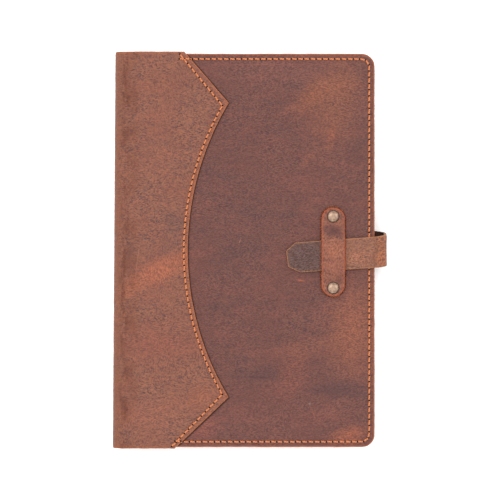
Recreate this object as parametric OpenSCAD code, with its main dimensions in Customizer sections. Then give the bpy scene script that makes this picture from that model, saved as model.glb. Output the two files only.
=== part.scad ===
// A leather notebook cover: two covers joined by one piece of spine leather, a strap that folds
// over the fore-edge into a riveted keeper, and a hardback notebook held in the inner sleeves.
// Closed and lying on its back cover: +X to the fore-edge, +Y to the head, +Z up.

/* [Cover] */
// Width from the spine's outer face to the fore-edge
cover_w = 150.8; // [144:0.2:165]
// Height of the spine leather
cover_h = 229.4; // [222:0.2:240]
// Height of the two covers' panels
panel_h = 227; // [220:0.2:238]
// Thickness of a panel
panel_t = 1.8; // [1.4:0.1:2.4]
// Radius of a panel's corners at the fore-edge
corner_r = 7.2; // [4:0.2:12]
// Thickness of an inner sleeve
sleeve_t = 1; // [0.8:0.1:1.4]
// Width of an inner sleeve, from the fore-edge
sleeve_w = 100; // [70:1:120]
// Width of the seam where a sleeve is sewn to its panel
seam_w = 5.5; // [4.5:0.1:7]

/* [Spine leather] */
// Thickness of the spine leather
yoke_t = 1.4; // [1:0.1:1.8]
// Outer radius of its folds at the spine
fold_r = 6; // [4:0.5:6.5]
// Its width on a cover at the head
yoke_head_w = 40.4; // [30:0.2:50]
// Its width on a cover at the tail
yoke_tail_w = 35.6; // [30:0.2:50]
// Its width on a cover at its two points
yoke_tip_w = 66.4; // [56:0.2:76]
// Its width on a cover at mid-height
yoke_waist_w = 42.8; // [36:0.2:50]
// Height of the two points above and below mid-height
yoke_tip_y = 85; // [70:1:95]

/* [Strap] */
// Width of the strap
strap_w = 18; // [14:0.2:20]
// Thickness of the strap and of its keeper
strap_t = 1.6; // [1.2:0.1:2]
// How far the strap's fold stands out from the fore-edge
loop_reach = 6.7; // [5.5:0.1:9]
// Length of the strap on the front cover, from the fore-edge to its tip
tongue_l = 51.2; // [46:0.2:60]
// Length and width of the strap's clipped end
tip_clip = [6, 4]; // [2:0.5:8]
// Slope of the strap across the front cover, in degrees
tongue_slope = 3.85; // [0:0.05:5]
// Height of the strap's middle where it crosses the fore-edge
tongue_y = -1.3; // [-3:0.1:3]
// Length of strap sewn into the back cover's seam
strap_root_l = 10.5; // [8:0.5:11]

/* [Keeper] */
// Length and width of the keeper
keeper_size = [13.6, 51.5]; // [10:0.1:60]
// Middle of the keeper, from the spine and from mid-height
keeper_at = [126.8, -1.15]; // [-5:0.05:130]
// Rivets' heights from the keeper's middle
rivet_y = [20.55, -20.75]; // [-23:0.05:23]
// Diameter and height of a rivet's cap
rivet_cap = [7.2, 1.7]; // [1:0.1:9]
// Diameter of a rivet's post
rivet_post_d = 3; // [2:0.1:3.4]
// Diameter and thickness of the rivet's inner head
rivet_head = [8, 0.6]; // [0.4:0.1:9]

/* [Stitching] */
// Distance from one stitch to the next
stitch_pitch = 3.6; // [3:0.1:5]
// Length, width and thickness of a stitch
stitch_size = [2.9, 0.7, 0.4]; // [0.3:0.1:4]
// Distance of a stitch row from the panel's edge
edge_margin = 3.1; // [2.5:0.1:4]
// Distance of a stitch row from the spine leather's edge
yoke_margin = 2.5; // [2:0.1:4]

/* [Notebook] */
// Width, height and thickness of the page block
pages = [126.8, 205, 5.6]; // [4:0.1:206]
// Height and thickness of the notebook's boards
board = [210, 1.2]; // [1:0.1:212]
// Where the boards start and end, from the spine
board_x = [9.5, 134.5]; // [8:0.5:136]

/* [Hidden] */
// Slack left around the notebook's boards and pages, and between leathers that slide
slack = 0.2;
slide_gap = 0.1;
// A panel's stitch row starts this far past the spine leather's edge
row_start = 1.2;
// Pocket between a panel and its sleeve, as deep as the strap that is sewn into it
pocket_t = strap_t;
// A panel starts this far from the spine, under the spine leather
panel_start = 12;
// Heights of each layer's underside in the back half
panel_z = yoke_t;
pocket_z = panel_z + panel_t;
sleeve_z = pocket_z + pocket_t;
pages_z = sleeve_z + sleeve_t + slack;
// Thickness of the whole closed cover, and the front panel's outer face
stack_t = 2 * pages_z + pages[2];
front_z = stack_t - panel_z;
// The spine leather's concave edge is an arc through its two points
yoke_sag = yoke_tip_w - yoke_waist_w;
yoke_arc_r = (pow(yoke_tip_y, 2) + pow(yoke_sag, 2)) / (2 * yoke_sag);
yoke_arc_x = yoke_waist_w + yoke_arc_r;
// The stitches on the spine leather lie in a groove this wide
groove_w = 1.3;
// Slack around a rivet's post
post_slack = 0.1;
// Strap levels, its fold's radii and the number of steps around the fold
tongue_z = front_z + stitch_size[2] + slide_gap;
keeper_z = tongue_z + strap_t + slide_gap;
loop_gap = 0.2;
loop_r = loop_reach - loop_gap;
loop_steps = 12;
root_y = 1.6;
// The keeper lies flat under its rivets and steps over the strap between these heights
keeper_step = 5.4;
keeper_over = [-12.9, 7.3];
// Thickness and place of the notebook's spine strip
insert_spine_t = 1.2;
insert_spine_x = yoke_t + 0.5;
// The model's middle in X
middle_x = (cover_w + loop_reach) / 2;
$fn = 96;

// ---- Places ----

// Everything is drawn with the spine's outer face at x = 0, then centred.
module centred() translate([-middle_x, 0, 0]) children();

// The front half is the back half turned over.
module in_front() translate([0, 0, stack_t]) mirror([0, 0, 1]) children();

module at_rivets() {
    for (y = rivet_y)
        translate([keeper_at[0], keeper_at[1] + y, 0]) children();
}

// ---- Outlines ----

// From start to the fore-edge, inset on three sides, with rounded fore-edge corners.
module cover_outline(start, inset = 0) {
    r = max(corner_r - inset, 1);
    edge = cover_w - inset;
    half_h = panel_h / 2 - inset;
    translate([start, -half_h]) square([edge - r - start, 2 * half_h]);
    translate([start, r - half_h]) square([edge - start, 2 * (half_h - r)]);
    for (side = [-1, 1])
        translate([edge - r, side * (half_h - r)]) circle(r);
}

// The part of the spine leather that lies on a cover, with its two points.
module yoke_outline() {
    difference() {
        polygon([
            [fold_r, -cover_h / 2], [yoke_tail_w, -cover_h / 2], [yoke_tip_w, -yoke_tip_y],
            [yoke_tip_w, yoke_tip_y], [yoke_head_w, cover_h / 2], [fold_r, cover_h / 2]
        ]);
        translate([yoke_arc_x, 0]) circle(yoke_arc_r, $fn = 360);
    }
}

// ---- Stitching ----

module stitch() translate([-stitch_size[0] / 2, -stitch_size[1] / 2, 0]) cube(stitch_size);

// Stitches from one point to another in a straight row.
module straight_row(from, to) {
    run = to - from;
    count = max(1, floor(norm(run) / stitch_pitch));
    for (i = [0 : count - 1])
        translate(concat(from + run * (i + 0.5) / count, [0]))
            rotate(atan2(run[1], run[0])) stitch();
}

// Stitches around an arc from angle a to angle b.
module arc_row(middle, r, a, b) {
    count = max(1, floor(r * abs(b - a) * PI / 180 / stitch_pitch));
    for (i = [0 : count - 1])
        translate(concat(middle, [0]))
            rotate(a + (b - a) * (i + 0.5) / count) translate([r, 0, 0]) rotate(90) stitch();
}

// The row around a panel's three free edges, from the spine leather and back to it.
module edge_rows() {
    x = cover_w - corner_r;
    y = panel_h / 2 - corner_r;
    r = corner_r - edge_margin;
    row_y = panel_h / 2 - edge_margin;
    // How far along its straight edges, from an end to a point, the spine leather meets this row
    share = (cover_h / 2 - row_y) / (cover_h / 2 - yoke_tip_y);
    head_x = yoke_head_w + share * (yoke_tip_w - yoke_head_w) + row_start;
    tail_x = yoke_tail_w + share * (yoke_tip_w - yoke_tail_w) + row_start;
    straight_row([head_x, row_y], [x, row_y]);
    arc_row([x, y], r, 90, 0);
    straight_row([x + r, y], [x + r, -y]);
    arc_row([x, -y], r, 0, -90);
    straight_row([x, -row_y], [tail_x, -row_y]);
}

// Where the spine leather's straight edges run, moved inside them by its margin.
function inside(from, to, side) =
    let (along = (to - from) / norm(to - from))
    [for (p = [from + 2 * along, to - 4 * along]) p + side * yoke_margin * [along[1], -along[0]]];
head_row = inside([yoke_head_w, cover_h / 2], [yoke_tip_w, yoke_tip_y], 1);
tail_row = inside([yoke_tail_w, -cover_h / 2], [yoke_tip_w, -yoke_tip_y], -1);
// The arc row stops short of the two points.
arc_row_half = asin((yoke_tip_y - 4.5) / yoke_arc_r);

module yoke_rows() {
    straight_row(head_row[0], head_row[1]);
    straight_row(tail_row[0], tail_row[1]);
    arc_row([yoke_arc_x, 0], yoke_arc_r + yoke_margin, 180 - arc_row_half, 180 + arc_row_half);
}

// The groove that the spine leather's stitches lie in.
module yoke_groove() {
    for (row = [head_row, tail_row])
        translate(row[0])
            rotate(atan2(row[1][1] - row[0][1], row[1][0] - row[0][0]))
                translate([0, -groove_w / 2]) square([norm(row[1] - row[0]), groove_w]);
    translate([yoke_arc_x, 0])
        rotate(180 - arc_row_half)
            flat_arc(yoke_arc_r + yoke_margin, groove_w, 2 * arc_row_half);
}

// A flat arc of the given middle radius and width, as a sector cut from two circles.
module flat_arc(r, w, angle) {
    reach = 1.2 * r;
    intersection() {
        difference() {
            circle(r + w / 2, $fn = 360);
            circle(r - w / 2, $fn = 360);
        }
        polygon([[0, 0], [reach, 0], [reach * cos(angle / 2), reach * sin(angle / 2)],
                 [reach * cos(angle), reach * sin(angle)]]);
    }
}

// ---- One half of the cover, drawn with its outer face down ----

module half_panel() {
    translate([0, 0, panel_z]) linear_extrude(panel_t) cover_outline(panel_start);
}

module half_yoke() {
    difference() {
        linear_extrude(yoke_t) yoke_outline();
        translate([0, 0, -1]) linear_extrude(1 + stitch_size[2] + 0.05) yoke_groove();
    }
}

// A sheet sewn down on three sides, open towards the spine.
module half_sleeve() {
    start = cover_w - sleeve_w;
    translate([0, 0, sleeve_z]) linear_extrude(sleeve_t) cover_outline(start);
    translate([0, 0, pocket_z])
        linear_extrude(pocket_t)
            difference() {
                cover_outline(start);
                translate([-1, 0]) cover_outline(start, seam_w);
            }
}

module half_board() {
    translate([board_x[0], -board[0] / 2, pocket_z + slack])
        cube([board_x[1] - board_x[0], board[0], board[1]]);
}

module half_edge_stitching() translate([0, 0, panel_z - stitch_size[2]]) edge_rows();

module half_fold() {
    translate([fold_r, 0, fold_r])
        rotate([90, 0, 0])
            translate([0, 0, -cover_h / 2])
                rotate(180)
                    rotate_extrude(angle = 90)
                        translate([fold_r - yoke_t, 0]) square([yoke_t, cover_h]);
}

// ---- Back cover ----

module back_panel() color("#7a4638") centred() half_panel();

module back_yoke() color("#9c6248") centred() half_yoke();

module back_sleeve() {
    color("#8a5342")
        centred()
            difference() {
                half_sleeve();
                translate([0, 0, -0.01]) root_block(1);
            }
}

module back_edge_stitching() color("#d9824c") centred() half_edge_stitching();

module back_yoke_stitching() color("#d9824c") centred() yoke_rows();

// The strap's sewn end, in the seam between the back panel and its sleeve.
module root_block(past_edge) {
    translate([cover_w - strap_root_l, root_y - strap_w / 2, pocket_z])
        cube([strap_root_l + past_edge, strap_w, strap_t + (past_edge > 0 ? 0.01 : 0)]);
}

module strap_root() color("#6d4436") centred() root_block(0);

module insert_back_board() color("#26262a") centred() half_board();

module page_block() {
    color("ivory")
        centred()
            translate([insert_spine_x + insert_spine_t + 1.5, -pages[1] / 2, pages_z]) cube(pages);
}

// ---- Spine ----

module spine_leather() {
    color("#9c6248")
        centred()
            translate([0, -cover_h / 2, fold_r]) cube([yoke_t, cover_h, stack_t - 2 * fold_r]);
}

module back_fold() color("#a4603c") centred() half_fold();

module front_fold() color("#a4603c") centred() in_front() half_fold();

module insert_spine() {
    color("#26262a")
        centred()
            translate([insert_spine_x, -board[0] / 2, sleeve_z])
                cube([insert_spine_t, board[0], stack_t - 2 * sleeve_z]);
}

// ---- Front cover ----

module front_panel() {
    color("#7a4638")
        centred()
            difference() {
                in_front() half_panel();
                at_rivets() {
                    cylinder(d = rivet_post_d + 2 * post_slack, h = stack_t + 1);
                    translate([0, 0, front_z - panel_t - 1])
                        cylinder(d = rivet_head[0] + 2 * post_slack, h = 1 + rivet_head[1] + 0.05);
                }
            }
}

module front_yoke() color("#9c6248") centred() in_front() half_yoke();

module front_sleeve() color("#8a5342") centred() in_front() half_sleeve();

module front_edge_stitching() color("#d9824c") centred() in_front() half_edge_stitching();

module front_yoke_stitching() color("#d9824c") centred() in_front() yoke_rows();

module insert_front_board() color("#26262a") centred() in_front() half_board();

// The keeper's side view: flat under each rivet, raised over the strap.
module keeper_profile() {
    half_l = keeper_size[1] / 2;
    ends = [keeper_at[1] - half_l, keeper_at[1] + half_l];
    underside = [
        [ends[0], front_z], [keeper_over[0] - keeper_step, front_z], [keeper_over[0], keeper_z],
        [keeper_over[1], keeper_z], [keeper_over[1] + keeper_step, front_z], [ends[1], front_z]
    ];
    top = [for (i = [len(underside) - 1 : -1 : 0]) underside[i] + [0, strap_t]];
    polygon(concat(underside, top));
}

module strap_keeper() {
    end_r = keeper_size[0] / 2;
    half_run = keeper_size[1] / 2 - end_r;
    color("#7d4a3a")
        centred()
            difference() {
                intersection() {
                    translate([keeper_at[0] - end_r, 0, 0])
                        rotate([90, 0, 90]) linear_extrude(keeper_size[0]) keeper_profile();
                    translate([keeper_at[0], keeper_at[1], 0]) {
                        for (side = [-1, 1])
                            translate([0, side * half_run, 0]) cylinder(r = end_r, h = 2 * stack_t);
                        translate([-end_r, -half_run, 0])
                            cube([keeper_size[0], 2 * half_run, 2 * stack_t]);
                    }
                }
                at_rivets() cylinder(d = rivet_post_d + 2 * post_slack, h = 2 * stack_t);
            }
}

// A low dome on a thin rim.
module rivet_caps() {
    r = rivet_cap[0] / 2;
    rim_h = 0.4;
    dome_h = rivet_cap[1] - rim_h;
    dome_r = (r * r + dome_h * dome_h) / (2 * dome_h);
    color("#8f7152")
        centred()
            at_rivets()
                translate([0, 0, front_z + strap_t]) {
                    cylinder(r = r, h = rim_h);
                    translate([0, 0, rim_h])
                        rotate_extrude()
                            intersection() {
                                translate([0, dome_h - dome_r]) circle(dome_r);
                                square([r, dome_h]);
                            }
                }
}

// The post and its flat inner head, let into the panel's inner face.
module rivet_posts() {
    base_z = front_z - panel_t;
    color("#8f7152")
        centred()
            at_rivets()
                translate([0, 0, base_z]) {
                    cylinder(d = rivet_head[0], h = rivet_head[1]);
                    cylinder(d = rivet_post_d, h = panel_t + strap_t);
                }
}

// ---- Strap ----

// A point on the strap's middle line around its fold: t is 0 at the back and 1 at the front.
function loop_centre(t) =
    let (
        r = loop_r - strap_t / 2,
        rise = tongue_z + strap_t / 2 - (pocket_z + strap_t / 2),
        a = -90 + 180 * t
    )
    [cover_w + loop_gap + r * cos(a), pocket_z + strap_t / 2 + rise * (1 + sin(a)) / 2];

// The four corners of the strap's section there; the fold is skewed, so it drifts in height.
function loop_section(t) =
    let (
        a = -90 + 180 * t,
        out = [cos(a), sin(a)] * strap_t / 2,
        c = loop_centre(t),
        y = root_y + (tongue_y - root_y) * (1 - cos(180 * t)) / 2,
        half_w = strap_w / 2
    )
    [
        [c[0] + out[0], y - half_w, c[1] + out[1]], [c[0] + out[0], y + half_w, c[1] + out[1]],
        [c[0] - out[0], y + half_w, c[1] - out[1]], [c[0] - out[0], y - half_w, c[1] - out[1]]
    ];

module strap_loop() {
    sections = [for (i = [0 : loop_steps]) loop_section(i / loop_steps)];
    last = 4 * loop_steps;
    sides = [
        for (i = [0 : loop_steps - 1], j = [0 : 3])
            [4 * i + j, 4 * i + (j + 1) % 4, 4 * i + 4 + (j + 1) % 4, 4 * i + 4 + j]
    ];
    color("#a06a48")
        centred()
            polyhedron(
                points = [for (s = sections, p = s) p],
                faces = concat([[3, 2, 1, 0]], sides, [[last, last + 1, last + 2, last + 3]])
            );
}

// The strap's free end, clipped at its two corners. Its other end is cut to meet the fold.
module strap_tongue() {
    half_w = strap_w / 2;
    cut = half_w * tan(tongue_slope);
    color("#5f463c")
        centred()
            translate([cover_w + loop_gap, tongue_y, tongue_z])
                rotate(tongue_slope)
                    linear_extrude(strap_t)
                        polygon([
                            [-cut, -half_w], [cut, half_w],
                            [tip_clip[0] - tongue_l, half_w], [-tongue_l, half_w - tip_clip[1]],
                            [-tongue_l, tip_clip[1] - half_w], [tip_clip[0] - tongue_l, -half_w]
                        ]);
}

back_panel();
back_yoke();
back_sleeve();
back_edge_stitching();
back_yoke_stitching();
strap_root();
insert_back_board();
page_block();
spine_leather();
back_fold();
front_fold();
insert_spine();
front_panel();
front_yoke();
front_sleeve();
front_edge_stitching();
front_yoke_stitching();
insert_front_board();
strap_keeper();
rivet_caps();
rivet_posts();
strap_loop();
strap_tongue();
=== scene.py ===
"""The looks of a leather notebook cover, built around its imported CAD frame.

Every leather piece is cut as a flat pattern in millimetres, given needle holes and a rounded raw
edge, and then placed: laid on a cover, wrapped round the spine or folded over the fore-edge.
"""

import math
import random

import bmesh
import bpy
import numpy as np
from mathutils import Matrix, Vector, noise
from mathutils.geometry import delaunay_2d_cdt


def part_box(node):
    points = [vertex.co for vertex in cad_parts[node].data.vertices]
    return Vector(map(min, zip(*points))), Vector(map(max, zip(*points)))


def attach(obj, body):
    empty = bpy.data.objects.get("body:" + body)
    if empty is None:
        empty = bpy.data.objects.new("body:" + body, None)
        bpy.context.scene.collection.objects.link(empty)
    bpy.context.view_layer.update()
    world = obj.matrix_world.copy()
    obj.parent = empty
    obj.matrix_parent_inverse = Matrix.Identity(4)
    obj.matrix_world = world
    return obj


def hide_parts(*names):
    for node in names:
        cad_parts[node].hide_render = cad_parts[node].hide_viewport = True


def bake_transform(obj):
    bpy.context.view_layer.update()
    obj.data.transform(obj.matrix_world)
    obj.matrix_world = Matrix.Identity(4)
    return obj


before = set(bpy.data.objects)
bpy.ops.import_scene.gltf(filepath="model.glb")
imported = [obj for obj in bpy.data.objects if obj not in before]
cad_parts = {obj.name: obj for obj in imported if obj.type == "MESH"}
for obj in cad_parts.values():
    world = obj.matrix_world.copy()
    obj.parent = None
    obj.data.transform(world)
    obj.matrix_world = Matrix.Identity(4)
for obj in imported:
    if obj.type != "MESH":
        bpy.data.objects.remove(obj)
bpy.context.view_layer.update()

# ---- Dimensions, in millimetres, from the CAD frame ----

# A millimetre in the frame's metres
MM = 0.001


def box_mm(node):
    low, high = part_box(node)
    return np.array(low) * 1000, np.array(high) * 1000


yoke_low, yoke_high = box_mm("front_yoke")
panel_low, panel_high = box_mm("front_panel")
back_low, back_high = box_mm("back_panel")
sleeve_low, _ = box_mm("front_sleeve")
spine_low, _ = box_mm("spine_leather")
fold_low, fold_high = box_mm("front_fold")
tongue_low, tongue_high = box_mm("strap_tongue")
_, loop_high = box_mm("strap_loop")
root_low, root_high = box_mm("strap_root")
keeper_low, keeper_high = box_mm("strap_keeper")
caps_low, caps_high = box_mm("rivet_caps")
pages_low, pages_high = box_mm("page_block")

SPINE_X = spine_low[0]
STACK = yoke_high[2]
FRONT_Z = panel_high[2]
PANEL_T = panel_high[2] - panel_low[2]
YOKE_T = yoke_high[2] - yoke_low[2]
SLEEVE_T = 1.0
STRAP_T = tongue_high[2] - tongue_low[2]
FOLD_R = fold_high[0] - fold_low[0]
EDGE_X = panel_high[0]
PANEL_H = panel_high[1]
YOKE_H = yoke_high[1]
COVER_W = EDGE_X - SPINE_X
POCKET_Z = root_low[2]

# Shape of the leather, measured from the spine and from mid-height
CORNER_R = 7.2
PANEL_START = panel_low[0] - SPINE_X
HEAD_W, TAIL_W = 40.4, 35.6
TIP_W, WAIST_W = yoke_high[0] - SPINE_X, 42.8
TIP_Y = 85.0
EDGE_MARGIN, YOKE_MARGIN = 3.1, 2.3
PITCH = 3.6
THREAD_R = 0.52
STRAP_W = 18.0
TONGUE_L = 51.2
TONGUE_SLOPE = math.radians(3.85)
LOOP_SLOPE = math.radians(9.0)
TONGUE_Y = -1.3
KEEPER_STEP = 5.4

# ---- Small helpers ----


def smooth(value, low, high):
    t = np.clip((np.asarray(value, float) - low) / (high - low), 0.0, 1.0)
    return t * t * (3 - 2 * t)


def wave(u, v, size, seed):
    """Smooth noise from -1 to 1 whose lumps are about size across."""
    points = np.stack([np.asarray(u, float) / size, np.asarray(v, float) / size], -1)
    flat = points.reshape(-1, 2)
    found = [noise.noise(Vector((p[0], p[1], seed * 7.3))) for p in flat]
    return np.array(found).reshape(points.shape[:-1])


def along(points, step):
    """The closed outline again, with a point at least every step."""
    out = []
    for a, b in zip(points, points[1:] + points[:1]):
        count = max(1, math.ceil(math.dist(a, b) / step))
        out += [(a[0] + (b[0] - a[0]) * i / count, a[1] + (b[1] - a[1]) * i / count)
                for i in range(count)]
    return out


def arc(cx, cy, r, a0, a1, steps):
    angles = [math.radians(a0 + (a1 - a0) * i / steps) for i in range(steps + 1)]
    return [(cx + r * math.cos(a), cy + r * math.sin(a)) for a in angles]


def book_outline(x0, x1, y1, r, steps):
    """Square at the spine side x0, with round corners at the fore-edge x1."""
    corners = arc(x1 - r, r - y1, r, -90, 0, steps) + arc(x1 - r, y1 - r, r, 0, 90, steps)
    return [(x0, -y1)] + corners + [(x0, y1)]


def roughen(points, amount, size, seed):
    """A cut edge is never quite true: each point moves a little."""
    p = np.array(points)
    return np.stack([p[:, 0] + amount * wave(p[:, 0], p[:, 1], size, seed),
                     p[:, 1] + amount * wave(p[:, 0], p[:, 1], size, seed + 1)], -1)


def in_parts(points):
    return np.array_split(points, max(1, len(points) // 2000))


def nearest(points, spots):
    """Each point's distance from the nearest of some spots."""
    return np.concatenate([
        np.sqrt(((part[:, None] - spots) ** 2).sum(-1)).min(1) for part in in_parts(points)])


def edge_directions(outline):
    """The way along a closed outline and the way out of it, at each of its points."""
    run = np.roll(outline, -1, axis=0) - np.roll(outline, 1, axis=0)
    run /= np.maximum(np.linalg.norm(run, axis=1, keepdims=True), 1e-9)
    x, y = outline.T
    area = np.sum(x * np.roll(y, -1) - np.roll(x, -1) * y)
    return run, np.stack([run[:, 1], -run[:, 0]], -1) * (1 if area > 0 else -1)


def edge_distance(points, outline):
    """Each point's distance from a closed outline, and whether it is inside."""
    a, b = outline, np.roll(outline, -1, axis=0)
    found, inside = [], []
    for part in in_parts(points):
        p = part[:, None, :]
        d = b - a
        t = np.clip(((p - a) * d).sum(-1) / np.maximum((d * d).sum(-1), 1e-12), 0, 1)
        found.append(np.sqrt((((a + t[..., None] * d) - p) ** 2).sum(-1)).min(1))
        crosses = (a[:, 1] > p[..., 1]) != (b[:, 1] > p[..., 1])
        slope = (b[:, 0] - a[:, 0]) / np.where(b[:, 1] == a[:, 1], 1e-12, b[:, 1] - a[:, 1])
        right = p[..., 0] < a[:, 0] + (p[..., 1] - a[:, 1]) * slope
        inside.append((crosses & right).sum(1) % 2 == 1)
    return np.concatenate(found), np.concatenate(inside)


def new_object(name, verts_mm, faces, sharp_deg=50, flat=None):
    """A mesh whose "flat" attribute says where its material's grain is: the flat places given, or
    else the points themselves."""
    mesh = bpy.data.meshes.new(name)
    mesh.from_pydata([tuple(v) for v in np.asarray(verts_mm) * MM], [], faces)
    mesh.validate()
    bm = bmesh.new()
    bm.from_mesh(mesh)
    bmesh.ops.recalc_face_normals(bm, faces=bm.faces)
    for face in bm.faces:
        face.smooth = True
    for e in bm.edges:
        e.smooth = e.calc_face_angle(0) < math.radians(sharp_deg)
    bm.to_mesh(mesh)
    bm.free()
    obj = bpy.data.objects.new(name, mesh)
    bpy.context.scene.collection.objects.link(obj)
    store(obj, "flat", "FLOAT_VECTOR", np.asarray(verts_mm) * MM if flat is None else flat)
    return obj


def store(obj, name, kind, values):
    attribute = obj.data.attributes.new(name, kind, "POINT")
    field = "vector" if kind == "FLOAT_VECTOR" else "value"
    attribute.data.foreach_set(field, np.asarray(values, np.float32).ravel())


def tube_faces(first, rings, sides):
    """The faces of a closed tube: its rings of vertices follow one another from vertex first."""
    faces = []
    for p in range(first, first + (rings - 1) * sides, sides):
        faces += [(p + j, p + (j + 1) % sides, p + sides + (j + 1) % sides, p + sides + j)
                  for j in range(sides)]
    last = first + (rings - 1) * sides
    return faces + [tuple(reversed(range(first, first + sides))), tuple(range(last, last + sides))]


# ---- Leather, cut flat and then placed ----

# Rows of points just inside a cut edge, and a needle hole's radius at the bottom and at its mouth
RIM_STEPS = (0.22, 0.5, 0.9)
HOLE_R, MOUTH_R = 0.45, 0.6
# How deep the thread draws the leather down at a hole
DIMPLE = 0.16


def grid_points(outline, spacing, aligned, seed):
    """Points inside a flat piece: a slightly uneven grid of triangles, an even grid in each aligned
    band, and the rows along its cut edge."""
    rng = random.Random(seed)
    low, high = outline.min(0), outline.max(0)
    row_h = spacing * math.sqrt(3) / 2
    grid = np.array([
        (low[0] + spacing * (i + 0.5 * (j % 2)) + rng.uniform(-0.2, 0.2) * spacing,
         low[1] + row_h * j + rng.uniform(-0.2, 0.2) * spacing)
        for j in range(int((high[1] - low[1]) / row_h) + 2)
        for i in range(int((high[0] - low[0]) / spacing) + 2)
    ])
    for a, b, _ in aligned:
        grid = grid[(grid[:, 0] < a - 0.4) | (grid[:, 0] > b + 0.4)]
    bands = [
        (u, v)
        for a, b, step in aligned
        for u in np.linspace(a, b, int((b - a) / step) + 1)
        for v in np.arange(low[1], high[1], spacing)
    ]
    points = np.concatenate([grid, np.array(bands).reshape(-1, 2)])
    d, inside = edge_distance(points, outline)
    rows = [points[inside & (d > RIM_STEPS[-1] + 0.35 * spacing)]]
    _, outward = edge_directions(outline)
    for step in RIM_STEPS:
        row = outline - outward * step
        d, inside = edge_distance(row, outline)
        rows.append(row[inside & (d > 0.93 * step)])
    return np.concatenate(rows)


def hole_points(holes):
    """Two rings and a middle for each needle hole."""
    turns = np.linspace(0, 2 * math.pi, 8, endpoint=False)
    circle = np.stack([np.cos(turns), np.sin(turns)], -1)
    rings = [(holes[:, None] + circle * r).reshape(-1, 2) for r in (MOUTH_R, HOLE_R)]
    return np.concatenate(rings + [holes])


def leather_sheet(name, outline, thick, place, spacing, seed, holes=(), relief=None, round_off=0.55,
                  aligned=()):
    """A piece of leather cut to a closed outline. place(u, v, depth) says where each point of the
    flat piece goes; relief(u, v) raises its face. aligned are (low, high, step) bands in u that
    get an even grid, for a fold. The mesh keeps its flat place, its distance from the cut edge and
    its needle holes as attributes."""
    outline = np.asarray(outline, float)
    holes = np.array(holes, float).reshape(-1, 2)
    points = grid_points(outline, spacing, aligned, seed)
    if len(holes):
        points = np.concatenate([points[nearest(points, holes) > 0.72], hole_points(holes)])
    n = len(outline)
    flat, _, faces, *_ = delaunay_2d_cdt(
        [Vector(p) for p in np.concatenate([outline, points])], [(i, (i + 1) % n) for i in range(n)],
        [list(range(n))], 1, 1e-5, False)
    flat = np.array([tuple(p) for p in flat])
    middles = np.array([flat[list(f)].mean(0) for f in faces])
    faces = [tuple(f) for f, keep in zip(faces, edge_distance(middles, outline)[1]) if keep]
    d, _ = edge_distance(flat, outline)
    depth = round_off * (1 - np.sqrt(1 - (1 - np.clip(d / (1.6 * round_off), 0, 1)) ** 2))
    hole = np.zeros(len(flat))
    if len(holes):
        near = nearest(flat, holes)
        depth += np.interp(near, [0, HOLE_R, MOUTH_R, 0.8], [0.62, 0.5, 0.04, 0])
        hole = np.interp(near, [0, HOLE_R, MOUTH_R], [1, 1, 0])
        depth += DIMPLE * np.exp(-(near / 1.1) ** 2)
    if relief is not None:
        depth -= relief(flat[:, 0], flat[:, 1])
    loop = boundary_loop(faces)
    count, edge = len(flat), np.zeros(len(loop))
    # The face, the underside, and a row of points part of the way down the cut edge
    layers = [(flat, depth), (flat, np.full(count, thick)), (flat[loop], edge + 0.62 * thick)]
    verts = np.concatenate([place(at[:, 0], at[:, 1], down) for at, down in layers])
    quads = faces + [tuple(i + count for i in reversed(f)) for f in faces]
    for k in range(len(loop)):
        k2 = (k + 1) % len(loop)
        a, b, wa, wb = loop[k], loop[k2], 2 * count + k, 2 * count + k2
        quads += [(b, a, wa, wb), (wb, wa, a + count, b + count)]
    flat_places = np.concatenate([np.column_stack(layer) for layer in layers])
    obj = new_object(name, verts, quads, flat=flat_places * MM)
    rim = np.where(d < 1e-3, 0, d)
    store(obj, "rim", "FLOAT", np.concatenate([rim, rim, edge]))
    store(obj, "hole", "FLOAT", np.concatenate([hole, np.zeros(count), edge]))
    store(obj, "inner", "FLOAT", np.concatenate([np.zeros(count), np.ones(count), edge + 0.5]))
    return obj


def boundary_loop(faces):
    """The outer edge's vertices in order, from faces that turn anticlockwise."""
    edges = {}
    seen = set()
    for f in faces:
        for a, b in zip(f, f[1:] + f[:1]):
            seen.add((a, b))
    for a, b in seen:
        if (b, a) not in seen:
            edges[a] = b
    start = next(iter(edges))
    loop = [start]
    while edges[loop[-1]] != start:
        loop.append(edges[loop[-1]])
    return loop


# ---- How the covers lie ----


def board_swell(u, v):
    """The cover stands a little proud over the notebook's board and lies lower along its seams."""
    over_u = smooth(u, 4, 12) * (1 - smooth(u, COVER_W - 11, COVER_W - 7))
    over_v = 1 - smooth(np.abs(v), PANEL_H - 8, PANEL_H - 5.6)
    return 0.28 * over_u * over_v


def front_lift(u, v):
    """Height that the front cover's face gains or loses at a place."""
    droop = -0.7 * smooth(u, COVER_W - 34, COVER_W)
    return board_swell(u, v) + droop + 0.16 * wave(u, v, 46, 3) + 0.05 * wave(u, v, 15, 4)


def back_drop(u, v):
    """Height that the back cover's outer face sinks towards the table past the spine leather."""
    return -0.95 * smooth(u, TIP_W + 3, TIP_W + 30) * np.ones_like(v)


def out_of_square(u, v):
    """The cover leans a little: its spine edge is further right at the top than at the bottom."""
    return 0.0068 * v * (1 - smooth(u, 0, 80))


def on_cover(front):
    """A piece that lies on the front cover's face, or its mirror under the back cover."""
    face_z, lie, down = (FRONT_Z, front_lift, -1) if front else (back_low[2], back_drop, 1)

    def place(u, v, depth):
        y = v - 0.45 * smooth(-v, 50, PANEL_H)
        return np.stack([SPINE_X + u + out_of_square(u, v), y, face_z + lie(u, v) + down * depth], -1)
    return place


HALF_SPINE = STACK / 2 - FOLD_R
FOLD_L = FOLD_R * math.pi / 2
# From a place on a cover to the same place on the flat spine leather
FLAT_SHIFT = HALF_SPINE + FOLD_L - FOLD_R


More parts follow.
